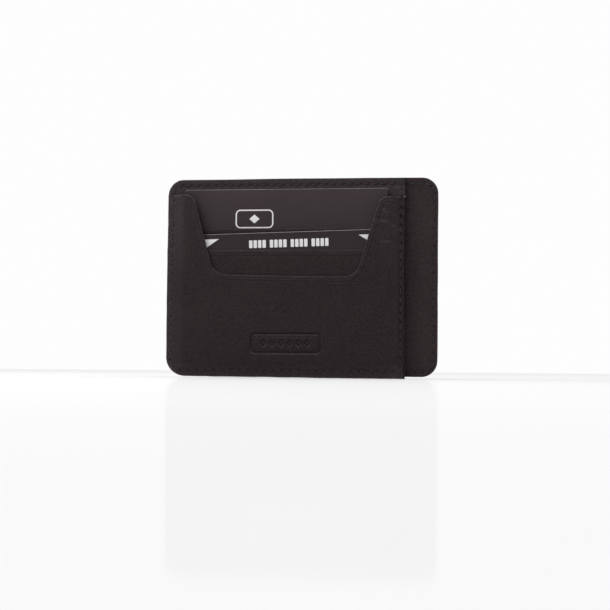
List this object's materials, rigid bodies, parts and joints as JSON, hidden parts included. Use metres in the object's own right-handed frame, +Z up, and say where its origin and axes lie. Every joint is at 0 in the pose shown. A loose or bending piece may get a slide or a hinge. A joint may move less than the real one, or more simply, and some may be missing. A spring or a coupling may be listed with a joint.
{
  "type": "card holder",
  "caption": "Flat black leather card holder with stepped card slots behind a scooped front panel, a side-opening flat pocket, and insert cards that slide out upwards.",
  "frame": {"origin": "middle of the foot of the bounding box, on the surface that the holder stands on", "axes": "+X along the holder's width, from the card slots towards the bare strip at the side pocket's mouth; +Y through its thickness, out of its back; +Z up its height, the way the cards slide out; the front faces -Y"},
  "size_m": [0.105, 0.0072, 0.0763],
  "materials": {
    "outer_leather": "smooth fine-grain black-brown calf leather with a low sheen, edges turned over",
    "inner_leather": "thinner smooth black-brown leather, slightly duller, with faint handling wrinkles",
    "lining_cloth": "fine black twill lining",
    "board": "plain grey-brown bonded fibre board",
    "thread": "twisted black polyester sewing thread with a soft shine",
    "card": "matt dark purple-grey coated card with pale cut edges",
    "card_print": "flat white print"
  },
  "bodies": {
    "holder": {"back_cover": "outer_leather", "back_stiffener": "board", "back_facing": "inner_leather", "side_pocket_lining": "lining_cloth", "block_base": "inner_leather", "upper_slot_leather": "outer_leather", "upper_slot_cloth": "lining_cloth", "lower_slot_leather": "outer_leather", "lower_slot_cloth": "lining_cloth", "front_panel": "outer_leather", "front_panel_lining": "lining_cloth", "outer_stitches_front": "thread", "outer_stitches_back": "thread", "block_edge_stitches_front": "thread", "block_edge_stitches_back": "thread", "upper_slot_floor_stitches": "thread"},
    "upper_card": {"upper_card": "card"},
    "lower_card": {"lower_card": "card"}
  },
  "joints": [
    {"name": "upper_card_slide", "type": "slide", "parent": "holder", "child": "upper_card", "axis": [0, 0, 1], "range_m": [0, 0.056]},
    {"name": "lower_card_slide", "type": "slide", "parent": "holder", "child": "lower_card", "axis": [0, 0, 1], "range_m": [0, 0.072]}
  ]
}
